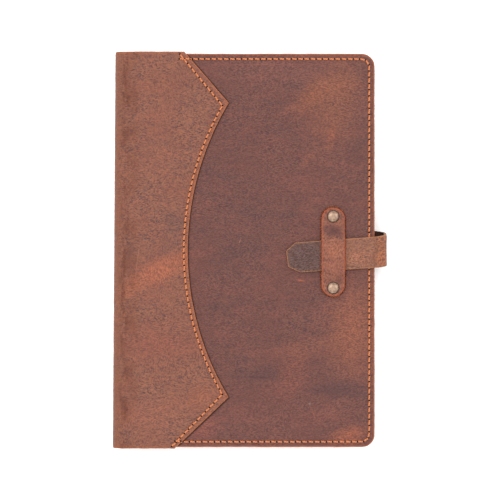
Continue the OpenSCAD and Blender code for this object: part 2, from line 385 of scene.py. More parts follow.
def around_spine(u, v, depth):
    """The spine leather: u runs from mid-spine, to the front cover when it is positive."""
    side = np.where(u < 0, -1.0, 1.0)
    a = np.abs(u)
    turn = np.clip((a - HALF_SPINE) / FOLD_R, 0, math.pi / 2)
    past = np.maximum(a - HALF_SPINE - FOLD_L, 0)
    r = FOLD_R - depth
    x = FOLD_R - r * np.cos(turn) + past
    z = np.minimum(a, HALF_SPINE) + r * np.sin(turn)
    onto = smooth(past, 0, 10)
    lift = np.where(side > 0, front_lift(FOLD_R + past, v), -back_drop(FOLD_R + past, v)) * onto
    z = z + lift
    return np.stack([SPINE_X + x + out_of_square(x, v), v + 0 * u, STACK / 2 + side * z], -1)


# ---- Outlines and stitch rows, on a cover ----


def cover_outline(start):
    """A panel or sleeve, from its straight edge at start."""
    return along(book_outline(start, COVER_W, PANEL_H, CORNER_R, 10), 1.6)


# The spine leather's edge is one arc from point to point, deepest at mid-height
SAG = TIP_W - WAIST_W
ARC_R = (TIP_Y**2 + SAG**2) / (2 * SAG)
ARC_X = WAIST_W + ARC_R
TIP_TURN = math.degrees(math.asin(TIP_Y / ARC_R))


def yoke_outline():
    """The whole spine leather, flat: the front cover's points are at positive u."""
    bow = arc(ARC_X, 0, ARC_R, 180 + TIP_TURN, 180 - TIP_TURN, 110)
    front = [(u + FLAT_SHIFT, v) for u, v in [(TAIL_W, -YOKE_H)] + bow + [(HEAD_W, YOKE_H)]]
    back = [(-u, v) for u, v in reversed(front)]
    return along(front + back, 1.6)


def even_holes(points):
    """Needle holes at an even pitch along an open line, from its first point to its last."""
    p = np.array(points)
    run = np.concatenate([[0], np.cumsum(np.linalg.norm(np.diff(p, axis=0), axis=1))])
    count = round(run[-1] / PITCH)
    at = np.linspace(0, run[-1], count + 1)
    return list(zip(np.interp(at, run, p[:, 0]), np.interp(at, run, p[:, 1])))


def edge_row():
    x, y, r = COVER_W - CORNER_R, PANEL_H - CORNER_R, CORNER_R - EDGE_MARGIN
    row = PANEL_H - EDGE_MARGIN
    points = [(HEAD_W + 1.2, row)] + arc(x, y, r, 90, 0, 8) + arc(x, -y, r, 0, -90, 8)
    return even_holes(points + [(TAIL_W + 1.2, -row)])


def yoke_row(side):
    """The seam along the spine leather's cut edge on one cover: head, arc and tail."""
    inner_r = ARC_R + YOKE_MARGIN
    turn = math.degrees(math.asin((TIP_Y - 1.6) / inner_r))
    bow = arc(ARC_X, 0, inner_r, 180 - turn, 180 + turn, 60)
    head = even_holes([(HEAD_W - 2.6, YOKE_H - 1.6), bow[0]])
    tail = even_holes([bow[-1], (TAIL_W - 1.6, 1.2 - YOKE_H)])
    holes = head[:-1] + even_holes(bow) + tail[1:]
    return [(side * (u + FLAT_SHIFT), v) for u, v in holes]


def corner_rows(side):
    """The first stitches of the edge seam, where it runs over the spine leather's corners."""
    rows = []
    for corner, sign, first in ((HEAD_W, 1, -1), (TAIL_W, -1, 0)):
        y = sign * (PANEL_H - EDGE_MARGIN)
        rows.append([(side * (corner + 0.3 + k * 3.2 + FLAT_SHIFT), y) for k in range(first, 2)])
    return rows


# ---- Thread ----


def thread(name, rows):
    """One short twisted length of thread from each needle hole to the next. A row is its holes'
    places and the way out of the leather there."""
    sides, rings = 8, 9
    verts, faces, uvw, from_hole = [], [], [], []
    for row_number, (holes, outward) in enumerate(rows):
        for k in range(len(holes) - 1):
            a, b = holes[k], holes[k + 1]
            n = (outward[k] + outward[k + 1]) / 2
            run = b - a
            length = np.linalg.norm(run)
            run = run / length
            cross = np.cross(n, run)
            lean = 0.17 + 0.05 * noise.noise(Vector((k * 0.7, row_number, 0)))
            first = len(verts)
            for i in range(rings):
                t = i / (rings - 1)
                # It dips into its holes a little short of their middles
                s = 0.035 + 0.93 * t
                rise = -0.28 + 0.58 * (1 - abs(2 * t - 1) ** 6)
                middle = a + run * (s * length) + cross * (lean * (1 - 2 * t)) + n * rise
                swell = THREAD_R * (0.86 + 0.14 * math.sin(math.pi * t))
                for j in range(sides):
                    angle = 2 * math.pi * j / sides
                    r = swell * (1 + 0.1 * math.cos(2 * angle - 9 * t))
                    verts.append(middle + cross * (r * math.cos(angle)) + n * (r * 0.8 * math.sin(angle)))
                    uvw.append((s * length + k * PITCH, angle, row_number))
                    from_hole.append((min(s, 1 - s) * length, r * math.cos(angle), 0))
            faces += tube_faces(first, rings, sides)
    obj = new_object(name, verts, faces, 80, np.array(uvw) * [MM, 1, 1])
    store(obj, "from_hole", "FLOAT_VECTOR", from_hole)
    return obj


def on_surface(place, holes, depth=DIMPLE):
    """The holes' places on a placed piece of leather and the way out of it."""
    p = np.array(holes, float)
    step = 0.2
    at = place(p[:, 0], p[:, 1], np.full(len(p), depth))
    du = place(p[:, 0] + step, p[:, 1], np.full(len(p), depth)) - at
    dv = place(p[:, 0], p[:, 1] + step, np.full(len(p), depth)) - at
    below = place(p[:, 0], p[:, 1], np.full(len(p), depth + step)) - at
    n = np.cross(du, dv)
    n /= np.linalg.norm(n, axis=1, keepdims=True)
    n *= np.where((n * below).sum(1) > 0, -1, 1)[:, None]
    return at, n


# ---- Strap and keeper ----

TONGUE_TOP = tongue_high[2]
LOOP_START_X = EDGE_X + 0.2
# The loop runs straight out of the cover, turns down, and turns in again to the back cover
BEND_R = 3.6
LOOP_FLAT = loop_high[0] + 0.35 - STRAP_T / 2 - BEND_R - LOOP_START_X
ROOT_L = root_high[0] - root_low[0]
PATH_STEP = 0.2


def strap_path():
    """The strap's middle line from the front cover round to its sewn end, in small steps: place,
    heading in XZ as an angle down from +X, and slope in Y."""
    front_z = TONGUE_TOP - STRAP_T / 2 + float(front_lift(COVER_W, TONGUE_Y))
    back_z = POCKET_Z + STRAP_T / 2 + float(back_drop(COVER_W, 0.0))
    straight = front_z - back_z - 2 * BEND_R
    turn_l = math.pi / 2 * BEND_R
    loop_l = 2 * (LOOP_FLAT + turn_l) + straight
    count = round((loop_l + ROOT_L) / PATH_STEP)
    x, y, z = LOOP_START_X, TONGUE_Y, front_z
    rows = []
    for i in range(count + 1):
        s = i * PATH_STEP
        bends = (s - LOOP_FLAT, s - LOOP_FLAT - turn_l - straight)
        heading = sum(min(max(past / BEND_R, 0), math.pi / 2) for past in bends)
        slope = TONGUE_SLOPE + (LOOP_SLOPE - TONGUE_SLOPE) * float(smooth(s, 0, 3))
        rows.append((x, y, z, heading, slope))
        x += PATH_STEP * math.cos(slope) * math.cos(heading)
        z -= PATH_STEP * math.cos(slope) * math.sin(heading)
        y += PATH_STEP * math.sin(slope)
    return np.array(rows), loop_l


PATH, LOOP_L = strap_path()
PATH_S = np.arange(len(PATH)) * PATH_STEP


def along_strap(s, t, depth):
    """s runs from 0 at the fold's start, back to the tip when negative and on to the sewn end."""
    s = np.asarray(s, float)
    col = [np.interp(s, PATH_S, PATH[:, k]) for k in range(5)]
    x, y, z, heading, slope = col
    back = np.minimum(s, 0)
    x = x + back * np.cos(slope)
    y = y + back * np.sin(slope)
    # The tongue settles from the fore-edge on to the cover and lies along it
    u, v = x - SPINE_X, y
    ease = smooth(-s, 0, 16)
    rest = FRONT_Z + STRAP_T / 2 + 0.12 + front_lift(u, v)
    z = z * (1 - ease) + rest * ease
    n = np.stack([np.sin(heading), 0 * s, np.cos(heading)], -1)
    run = np.stack([np.cos(heading), 0 * s, -np.sin(heading)], -1)
    across = np.stack([0 * s, np.cos(slope), 0 * s], -1) - np.sin(slope)[:, None] * run
    middle = np.stack([x, y, z], -1)
    return middle + across * np.asarray(t)[:, None] + n * (STRAP_T / 2 - np.asarray(depth))[:, None]


def strap_outline():
    half, end = STRAP_W / 2, LOOP_L + ROOT_L
    tip = -TONGUE_L
    points = [(end, -half), (end, half), (0, half), (tip + 5.6, half - 0.35), (tip + 0.5, half - 4.3),
              (tip, half - 5.2), (tip + 0.6, 3.9 - half), (tip + 7.2, 0.35 - half), (0, -half)]
    return roughen(along(points, 0.7), 0.1, 1.6, 21)


KEEPER_MID = (keeper_low + keeper_high) / 2
KEEPER_HALF = (keeper_high - keeper_low) / 2
RIVET_R = (caps_high[0] - caps_low[0]) / 2
RIVET_Y = (caps_low[1] + RIVET_R, caps_high[1] - RIVET_R)
STRAP_AT_KEEPER = TONGUE_Y + (KEEPER_MID[0] - LOOP_START_X) * math.tan(TONGUE_SLOPE)


def keeper_rise(v):
    """The keeper lies on the cover at its ends and steps over the strap."""
    away = np.abs(v - STRAP_AT_KEEPER) - STRAP_W / 2
    return (STRAP_T + 0.2) * (1 - smooth(away, 0.1, KEEPER_STEP))


def keeper_place(t, v, depth):
    u = KEEPER_MID[0] + t - SPINE_X
    z = FRONT_Z + STRAP_T + 0.06 + front_lift(u, v) + keeper_rise(v) - depth
    # Its long edges curl down a little where nothing is under them
    z = z - 0.22 * smooth(np.abs(t), 3.0, KEEPER_HALF[0]) * smooth(keeper_rise(v), 0.0, 1.6)
    return np.stack([KEEPER_MID[0] + t + 0 * v, v + 0 * t, z], -1)


def keeper_relief(t, v):
    dent = sum(np.exp(-((t**2 + (v - y) ** 2) / (RIVET_R * 1.15) ** 2) ** 2) for y in RIVET_Y)
    return 0.07 * wave(t, v, 4.0, 31) - 0.3 * dent


def keeper_outline():
    r, mid, half = KEEPER_HALF[0], KEEPER_MID[1], KEEPER_HALF[1]
    points = arc(0, mid + half - r, r, 0, 180, 22) + arc(0, mid - half + r, r, 180, 360, 22)
    return roughen(along(points, 0.45), 0.34, 1.1, 33)


def fibres(name, outline, place, depth, seed, count, length):
    """Loose fibres that stand out of a raw cut edge, as thin three-sided hairs."""
    rng = random.Random(seed)
    run, outward = edge_directions(outline)
    rings, sides, thick = 3, 3, 0.075
    verts, faces = [], []
    for _ in range(count):
        i = rng.randrange(len(outline))
        reach = length * rng.uniform(0.3, 1.0)
        sway = rng.uniform(-0.9, 0.9)
        root = outline[i] - outward[i] * 0.12
        root_depth = depth * rng.uniform(0.15, 0.8)
        faces += tube_faces(len(verts), rings, sides)
        for step in range(rings):
            t = step / (rings - 1)
            p = root + outward[i] * reach * t + run[i] * sway * reach * t * t
            r = thick * (1 - 0.75 * t)
            here = place(p[:1], p[1:], np.array([root_depth - 0.25 * t * t]))[0]
            for k in range(sides):
                a = 2 * math.pi * k / sides
                verts.append(here + np.array([r * math.cos(a), r * math.sin(a) * 0.6, r * math.sin(a)]))
    return new_object(name, verts, faces, 80)


# Half of a cap's section, from its top to the middle of its underside: radius and height
CAP_PROFILE = ((0, 1.62), (0.7, 1.6), (1.4, 1.5), (2.05, 1.3), (2.6, 1.02), (2.98, 0.72), (3.22, 0.46),
               (3.34, 0.34), (3.42, 0.33), (3.54, 0.29), (3.6, 0.18), (3.58, 0.02), (3.3, -0.1),
               (0, -0.12))
CAP_R = max(r for r, _ in CAP_PROFILE)


def rivet_cap(name, y, seed):
    """A domed cap, hammered a little flat, on a thin rim."""
    scale = RIVET_R / CAP_R
    turns = 56
    verts, radial = [], []
    for r, z in CAP_PROFILE:
        for k in range(turns if r else 1):
            a = 2 * math.pi * k / turns
            dent = 0.035 * noise.noise(Vector((r * math.cos(a) / 1.3, r * math.sin(a) / 1.3, seed)))
            verts.append((r * scale * math.cos(a), r * scale * math.sin(a), z * scale + dent * (r < 3)))
            radial.append(r / CAP_R if z > -0.05 else 1)
    faces = [(0, 1 + k, 1 + (k + 1) % turns) for k in range(turns)]
    last = 1 + (len(CAP_PROFILE) - 3) * turns
    for p in range(1, last, turns):
        faces += [(p + k, p + turns + k, p + turns + (k + 1) % turns, p + (k + 1) % turns)
                  for k in range(turns)]
    faces += [(last + k, len(verts) - 1, last + (k + 1) % turns) for k in range(turns)]
    base = keeper_place(np.array([0.0]), np.array([y]), np.array([0.28]))[0]
    placed = np.array(verts) + base
    obj = new_object(name, placed, faces, 65, (placed - [KEEPER_MID[0], y, base[2]]) * MM)
    store(obj, "radial", "FLOAT", radial)
    return obj


# ---- Inner sleeves and the notebook ----


def sleeve_place(front):
    """Pressed against its panel along the seam, and lifted over the notebook's board inside it."""
    panel_inner = panel_low[2] if front else back_high[2]
    side = 1 if front else -1
    gap = abs(sleeve_low[2] + SLEEVE_T - panel_low[2])

    def place(u, v, depth):
        in_u = COVER_W - u
        in_v = PANEL_H - np.abs(v)
        lifted = gap * smooth(np.minimum(in_u, in_v), 4.2, 8.5)
        lie = front_lift(u, v) * 0.9 if front else back_drop(u, v)
        z = panel_inner + lie - side * (lifted + 0.03 + SLEEVE_T - depth)
        return np.stack([SPINE_X + u, v + 0 * u, z], -1)
    return place


def notebook_block():
    """The leaves: a stack of thin sections with uneven edges and round fore-edge corners."""
    sections = 26
    rng = random.Random(5)
    verts, faces = [], []
    thick = (pages_high[2] - pages_low[2]) / sections
    for s in range(sections):
        out_x, out_y = rng.uniform(-0.14, 0.0), rng.uniform(-0.12, 0.0)
        # The spine edge of the block is slightly round
        bow = 0.9 * (1 - (2 * (s + 0.5) / sections - 1) ** 2)
        x0, x1 = pages_low[0] + 0.9 - bow, pages_high[0] + out_x - 0.24 * bow
        outline = book_outline(x0, x1, pages_high[1] + out_y, 6.0, 7)
        faces += tube_faces(len(verts), 2, len(outline))
        for level in (0.05, 0.95):
            verts += [(x, y, pages_low[2] + (s + level) * thick) for x, y in outline]
    return new_object("page_leaves", verts, faces, 30)


def rounded_board(name, node):
    """A notebook's board with rounded fore-edge corners and a soft bevel all round."""
    low, high = box_mm(node)
    radius, bevel = 5.0, 0.28
    verts = []
    levels = ((low[2], bevel), (low[2] + bevel, 0.0), (high[2] - bevel, 0.0), (high[2], bevel))
    for z, inset in levels:
        ring = book_outline(low[0] + inset, high[0] - inset, high[1] - inset, radius - inset, 6)
        verts += [(x, y, z) for x, y in ring]
    return new_object(name, verts, tube_faces(0, len(levels), len(ring)), 40)


# ---- Materials ----

# How much light the studio puts on a face that looks up: colours are divided by it, so that
# they come out as named.
STUDIO_LIGHT = 2.35


def rgb(r, g, b):
    """A finished colour as seen under the studio light, from screen values 0 to 255."""
    def linear(c):
        c = c / 255
        return c / 12.92 if c <= 0.04045 else ((c + 0.055) / 1.055) ** 2.4
    return tuple(linear(c) / STUDIO_LIGHT for c in (r, g, b)) + (1.0,)


class Nodes:
    """Adds nodes to one material. Every method returns the socket that carries its result."""

    def __init__(self, name, roughness, specular):
        self.material = bpy.data.materials.new(name)
        self.material.use_nodes = True
        self.tree = self.material.node_tree
        self.tree.nodes.clear()
        self.shader = self.tree.nodes.new("ShaderNodeBsdfPrincipled")
        out = self.tree.nodes.new("ShaderNodeOutputMaterial")
        self.tree.links.new(self.shader.outputs[0], out.inputs[0])
        self.shader.inputs["Roughness"].default_value = roughness
        self.shader.inputs["Specular IOR Level"].default_value = specular

    def put(self, socket, value):
        if isinstance(value, bpy.types.NodeSocket):
            self.tree.links.new(value, socket)
        else:
            socket.default_value = value

    def add(self, kind, inputs=(), out=0, **settings):
        node = self.tree.nodes.new(kind)
        for key, value in settings.items():
            setattr(node, key, value)
        for key, value in dict(inputs).items():
            self.put(node.inputs[key], value)
        return node.outputs[out]

    def attribute(self, name, vector=False):
        return self.add("ShaderNodeAttribute", out=1 if vector else 2, attribute_name=name)

    def math(self, operation, a, b=0.0):
        return self.add("ShaderNodeMath", {0: a, 1: b}, operation=operation)

    def times(self, a, b):
        return self.math("MULTIPLY", a, b)

    def plus(self, a, b):
        return self.math("ADD", a, b)

    def minus(self, a, b):
        return self.math("SUBTRACT", a, b)

    def noise(self, at, size_mm, detail=3.0, rough=0.55, distortion=0.0):
        return self.add("ShaderNodeTexNoise", {
            "Vector": at, "Scale": 1000.0 / size_mm, "Detail": detail, "Roughness": rough,
            "Distortion": distortion})

    def cells(self, at, size_mm, feature="F1"):
        return self.add("ShaderNodeTexVoronoi", {"Vector": at, "Scale": 1000.0 / size_mm},
                        feature=feature)

    def stretch(self, at, x, y, turn_deg=0.0):
        return self.add("ShaderNodeMapping", {
            "Vector": at, "Rotation": (0, 0, math.radians(turn_deg)), "Scale": (x, y, 1)})

    def step(self, value, low, high, to_low=0.0, to_high=1.0):
        return self.add("ShaderNodeMapRange", {
            "Value": value, 1: low, 2: high, 3: to_low, 4: to_high}, interpolation_type="SMOOTHSTEP")

    def mix(self, factor, a, b):
        """Two colours mixed. A colour given by three values is a finished one, for rgb()."""
        a, b = (rgb(*c) if isinstance(c, tuple) and len(c) == 3 else c for c in (a, b))
        return self.add("ShaderNodeMix", {0: factor, 6: a, 7: b}, out=2, data_type="RGBA")

    def split(self, at):
        node = self.tree.nodes.new("ShaderNodeSeparateXYZ")
        self.put(node.inputs[0], at)
        return tuple(node.outputs)

    def reach(self, at):
        """Distance from the origin, across the flat leather."""
        flat = self.add("ShaderNodeVectorMath", {0: at, 1: (1, 1, 0)}, operation="MULTIPLY")
        return self.add("ShaderNodeVectorMath", {0: flat}, out=1, operation="LENGTH")

    def mark(self, at, x, y, turn_deg, length, width):
        """A soft oval mark on the flat leather, 1 at its middle, with places in millimetres."""
        local = self.add("ShaderNodeMapping", {
            "Vector": at, "Location": (x * MM, y * MM, 0),
            "Rotation": (0, 0, math.radians(turn_deg)), "Scale": (length * MM, width * MM, 1)},
            vector_type="TEXTURE")
        return self.step(self.reach(local), 0.0, 1.0, 1.0, 0.0)

    def bump(self, height, distance_mm, strength=1.0, under=None):
        inputs = {"Height": height, "Distance": distance_mm * MM, "Strength": strength}
        if under is not None:
            inputs["Normal"] = under
        return self.add("ShaderNodeBump", inputs)

    def finish(self, color, roughness=None, normal=None):
        self.put(self.shader.inputs["Base Color"], color)
        if roughness is not None:
            self.put(self.shader.inputs["Roughness"], roughness)
        if normal is not None:
            self.put(self.shader.inputs["Normal"], normal)
        return self.material


# Size of the hide's wrinkles, in millimetres
GRAIN = 0.6
# Painted shade, dark, in the steps where the spine leather and the keeper lie on a cover
CONTACT_SHADE = (58, 36, 34)


def hide_grain(n, at, bent, across):
    """A hide's wrinkles and pores: its level from 0 in the pits to 1 on the ridges, its height,
    its mottle, and the light and dark that come with the mottle."""
    # Wrinkles run one way in some parts of the hide and across it in others
    lying = n.noise(n.stretch(bent, 0.45, 1.25), GRAIN, 1.6, 0.6, 0.6)
    standing = n.noise(n.stretch(bent, 1.2, 0.5, 25), GRAIN, 1.6, 0.6, 0.6)
    turned = n.step(n.noise(at, 26, 2.0), 0.65 - 0.3 * across, 0.75 - 0.3 * across)
    fine = n.add("ShaderNodeMix", {0: turned, 2: lying, 3: standing}, data_type="FLOAT")
    wrinkle = n.noise(n.stretch(bent, 0.4, 1.1, -8), GRAIN * 2.6, 2.0, 0.5, 1.2)
    pores = n.step(n.cells(bent, GRAIN * 1.9), 0.1, 0.34)
    mottle = n.noise(bent, GRAIN * 5, 3.0, 0.6)
    tone = n.times(n.minus(mottle, 0.5), 0.6)
    lines = n.plus(n.times(n.step(fine, 0.42, 0.61), 0.85), n.times(n.step(wrinkle, 0.4, 0.58), 0.22))
    level = n.times(n.plus(lines, tone), n.step(pores, 0.0, 1.0, 0.86, 1.0))
    return level, n.plus(n.times(pores, 0.4), fine), mottle, tone


def hide_color(n, bent, level, grain, ridge, pit, creased, crease):
    """Pits and ridges, with old wax that greys some of the pits, ridges rubbed down to tan in
    places, and a few long creases."""
    waxy = n.step(n.noise(bent, 1.5, 3.0, 0.7), 0.42, 0.58)
    pits = n.mix(waxy, pit, (pit[0] * 1.02, pit[1] * 1.16, pit[2] * 1.34))
    ridges = n.mix(waxy, ridge, (ridge[0] * 0.93, ridge[1] * 1.02, ridge[2] * 0.98))
    fold = n.noise(n.stretch(bent, 0.4, 1.0, -14), 2.2, 1.3, 0.55, 1.2)
    creases = n.step(n.math("ABSOLUTE", n.minus(fold, 0.5)), 0.0, 0.08, creased, 0.0)
    return n.mix(creases, n.mix(grain, pits, ridges), crease)


def leather(name, ridge, pit, cloud, marks=(), scratches_and_highlights=(), grain=0.5, cloud_mm=22,
            edge=(205, 108, 58), edge_mm=0.6, worn=0.3, worn_mm=3.0, bump_mm=0.1,
            lining=(150, 96, 70), contrast=0.1, across=0.5, ragged=0.8, creased=0.5,
            crease=(196, 127, 94), streaks=(), fold_band=None, extra=None):
    """Waxed pull-up leather: a darker pit colour and a lighter ridge colour over fine wavy grain,
    slow clouds, soft rub marks, thin scratches and painted highlight lines, a raw edge and painted
    shade in the needle holes. across is the share of the hide whose wrinkles stand upright; streaks
    are rows of (size, turn, strength, colour); marks, scratches and highlight lines are rows of (x, y,
    turn, length, width, strength, colour)."""
    n = Nodes(name, 0.62, 0.12)
    at = n.attribute("flat", vector=True)
    rim = n.attribute("rim")
    warp = n.add("ShaderNodeTexNoise", {"Vector": at, "Scale": 90.0, "Detail": 2.0}, out=1)
    warp = n.add("ShaderNodeVectorMath", {0: warp, 1: (0.5, 0.5, 0.5)}, operation="SUBTRACT")
    bent = n.add("ShaderNodeVectorMath", {0: warp, 1: (0.006, 0.006, 0.0), 2: at},
                 operation="MULTIPLY_ADD")
    level, height, mottle, tone = hide_grain(n, at, bent, across)
    strength = n.step(level, 0.0, 1.0, 0.5 - grain, 0.5 + grain)

    def shaded(tint):
        """A colour that is a little darker in the pits and lighter on the ridges."""
        return n.mix(strength, tuple(c * (1 - contrast) for c in tint),
                     tuple(c * (1 + contrast) for c in tint))

    color = hide_color(n, bent, level, strength, ridge, pit, creased, crease)
    slow = n.step(n.noise(bent, cloud_mm, 4.0, 0.6), 0.35, 0.68)
    color = n.mix(n.times(slow, 0.5), color, cloud)
    for size, turn, amount, tint in streaks:
        lines = n.step(n.noise(n.stretch(bent, 0.28, 1.0, turn), size, 4.0, 0.6), 0.5, 0.7)
        color = n.mix(n.times(lines, amount), color, shaded(tint))
    for x, y, turn, length, width, amount, tint in marks:
        rubbed = n.times(n.mark(bent, x, y, turn, length, width), amount)
        rubbed = n.times(rubbed, n.step(n.plus(level, tone), 0.0, 1.0, 0.55, 1.0))
        color = n.mix(rubbed, color, shaded(tint))
    for x, y, turn, length, width, amount, tint in scratches_and_highlights:
        color = n.mix(n.times(n.mark(at, x, y, turn, length, width), amount), color, tint)
    if fold_band is not None:
        color = fold_band(n, at, bent, color)
    if extra is not None:
        color = extra(n, at, color)
    # The cut edge: worn lighter beside it, and raw and a little frayed on it
    beside = n.times(n.step(rim, 0.0, worn_mm, worn, 0.0), n.step(level, 0.0, 1.0, 0.5, 1.0))
    color = n.mix(beside, color, edge)
    frayed = n.plus(rim, n.times(n.minus(n.noise(at, 0.9, 3.0), 0.5), ragged))
    raw = n.step(frayed, edge_mm * 0.35, edge_mm, 0.92, 0.0)
    edge_tone = n.mix(n.noise(at, 0.6, 2.0), tuple(c * 0.74 for c in edge), edge)
    color = n.mix(raw, color, edge_tone)
    color = n.mix(n.times(n.step(n.attribute("inner"), 0.6, 0.9), 0.85), color, lining)
    # Painted shade: the needle holes are painted near-black inside
    color = n.mix(n.step(n.attribute("hole"), 0.1, 0.8), color, (38, 10, 4))
    normal = n.bump(mottle, bump_mm * 2.2, 0.5, n.bump(height, bump_mm, 0.8))
    n.shader.inputs["Sheen Weight"].default_value = 0.04
    n.shader.inputs["Sheen Roughness"].default_value = 0.6
    return n.finish(color, n.step(level, 0.0, 1.0, 0.72, 0.54), normal)


def spine_band(n, at, bent, color):
    """Over the spine's fold the leather is painted lighter orange, partly rub wear and partly painted
    highlight; at the fold's edge a broken dark line and beside it a patchy darker band are painted shade.
    """
    x, _, _ = n.split(bent)
    away = n.math("ABSOLUTE", x)
    start = (HALF_SPINE + FOLD_L) * MM
    worn = n.plus(away, n.times(n.noise(at, 4, 3.0), 0.003))
    worn = n.step(worn, start - 0.004, start + 0.003, 0.62, 0.0)
    line = n.times(n.step(away, start - 0.0028, start - 0.0008),
                   n.step(away, start + 0.0002, start + 0.0035, 1.0, 0.0))
    zone = n.times(n.step(away, start - 0.001, start + 0.001),
                   n.step(away, start + 0.004, start + 0.011, 1.0, 0.0))
    broken = n.step(n.noise(n.stretch(at, 1.6, 0.5), 7, 4.0, 0.7), 0.42, 0.6)
    patchy = n.step(n.noise(at, 16, 3.0), 0.35, 0.65)
    uneven = n.step(n.noise(at, 5, 3.0), 0.3, 0.6, 0.55, 1.0)
    # Painted shade in a patchy band beside the fold, painted highlight and wear over the fold, painted
    # shade in a broken line at its edge
    color = n.mix(n.times(zone, n.times(patchy, 0.55)), color, (138, 78, 56))
    color = n.mix(n.times(worn, uneven), color, (152, 90, 60))
    return n.mix(n.times(line, n.times(broken, 0.5)), color, (104, 54, 38))


def yoke_shadow(n, at, color):
    """Painted shade on a cover: a dark line in the step along the spine leather's cut edge."""
    x, y, _ = n.split(at)
    from_middle = n.add("ShaderNodeVectorMath", {0: at, 1: (ARC_X * MM, 0, 0)}, operation="SUBTRACT")
    beside = n.step(n.reach(from_middle), (ARC_R - 1.1) * MM, (ARC_R - 0.1) * MM)
    tip_low, tip_high = (TIP_Y - 0.3) * MM, (TIP_Y + 0.3) * MM
    lines = n.times(beside, n.step(n.math("ABSOLUTE", y), tip_low, tip_high, 1.0, 0.0))
    for corner, sign in ((HEAD_W, 1), (TAIL_W, -1)):
        # Across the straight cut from the point to the cover's edge
        run = Vector((corner - TIP_W, sign * (YOKE_H - TIP_Y))).normalized()
        out = Vector((run.y * sign, -run.x * sign))
        away = n.plus(n.times(x, out.x), n.times(y, out.y))
        base = (TIP_W * out.x + sign * TIP_Y * out.y) * MM
        beside = n.step(away, base + 0.0001, base + 0.0011, 1.0, 0.0)
        within = n.step(n.times(y, sign), tip_low, tip_high)
        lines = n.math("MAXIMUM", lines, n.times(beside, within))
    return n.mix(n.times(lines, 0.85), color, CONTACT_SHADE)


def front_shadow(n, at, color):
    """The front panel also gets a line of painted shade round the keeper, which is riveted down to it."""
    x, y, _ = n.split(at)
    r, mid, half = KEEPER_HALF[0], KEEPER_MID[1], KEEPER_HALF[1]
    past = n.minus(n.math("ABSOLUTE", n.minus(y, mid * MM)), (half - r) * MM)
    past = n.math("MAXIMUM", past, 0.0)
    beside = n.minus(x, (KEEPER_MID[0] - SPINE_X) * MM)
    away = n.math("SQRT", n.plus(n.times(past, past), n.times(beside, beside)))
    around = n.step(away, (r + 0.1) * MM, (r + 1.2) * MM, 0.68, 0.0)
    return n.mix(around, yoke_shadow(n, at, color), CONTACT_SHADE)


def thread_material():
    n = Nodes("waxed_thread", 0.55, 0.35)
    at = n.attribute("flat", vector=True)
    along_it, around, _ = n.split(at)
    twist = n.plus(n.times(along_it, 5200.0), n.times(around, 2.0))
    ply = n.step(n.math("SINE", twist), -0.9, 0.9)
    color = n.mix(ply, (226, 122, 70), (268, 168, 106))
    color = n.mix(n.step(n.noise(at, 7, 2.0), 0.4, 0.7, 0.0, 0.3), color, (226, 128, 76))
    # Painted shade: each end is painted dark where it goes down its needle hole
    near = n.reach(n.attribute("from_hole", vector=True))
    color = n.mix(n.step(near, 0.4, 0.55, 1.0, 0.0), color, (44, 14, 6))
    return n.finish(color, n.step(ply, 0.0, 1.0, 0.7, 0.5), n.bump(ply, 0.12, 0.8))


def rivet_material():
    n = Nodes("antique_brass", 0.4, 0.5)
    at = n.attribute("flat", vector=True)
    radial = n.attribute("radial")
    stain = n.noise(at, 1.6, 4.0, 0.65)
    color = n.mix(n.step(stain, 0.38, 0.66), (226, 188, 160), (176, 140, 118))
    # Painted shade: the dome's steep outer edge and its thin rim are painted dark
    rim = n.step(n.plus(radial, n.times(n.minus(stain, 0.5), 0.16)), 0.74, 0.95)
    color = n.mix(rim, color, (72, 50, 38))
    n.shader.inputs["Metallic"].default_value = 0.6
    return n.finish(color, n.step(stain, 0.3, 0.7, 0.42, 0.58), n.bump(stain, 0.05, 0.6))


def paper_material():
    n = Nodes("paper", 0.85, 0.2)
    at = n.attribute("flat", vector=True)
    _, _, z = n.split(at)
    lines = n.step(n.math("FRACT", n.times(z, 9000.0)), 0.1, 0.6)
    color = n.mix(n.noise(at, 3.0, 4.0), (232, 224, 204), (244, 238, 222))
    color = n.mix(n.times(lines, 0.18), color, (206, 194, 168))
    return n.finish(color, None, n.bump(n.noise(at, 0.5, 3.0), 0.03, 0.5))


def board_material():
    n = Nodes("coated_board", 0.5, 0.3)
    at = n.attribute("flat", vector=True)
    grain = n.cells(at, 0.8, feature="DISTANCE_TO_EDGE")
    color = n.mix(n.noise(at, 2.5, 3.0), (34, 33, 36), (42, 41, 44))
    rough = n.step(n.noise(at, 6, 3.0), 0.3, 0.7, 0.5, 0.56)
    return n.finish(color, rough, n.bump(grain, 0.04, 0.5))


def fibre_material():
    n = Nodes("leather_fibre", 0.8, 0.15)
    at = n.attribute("flat", vector=True)
    return n.finish(n.mix(n.noise(at, 1.2, 2.0), (196, 92, 44), (236, 142, 84)))


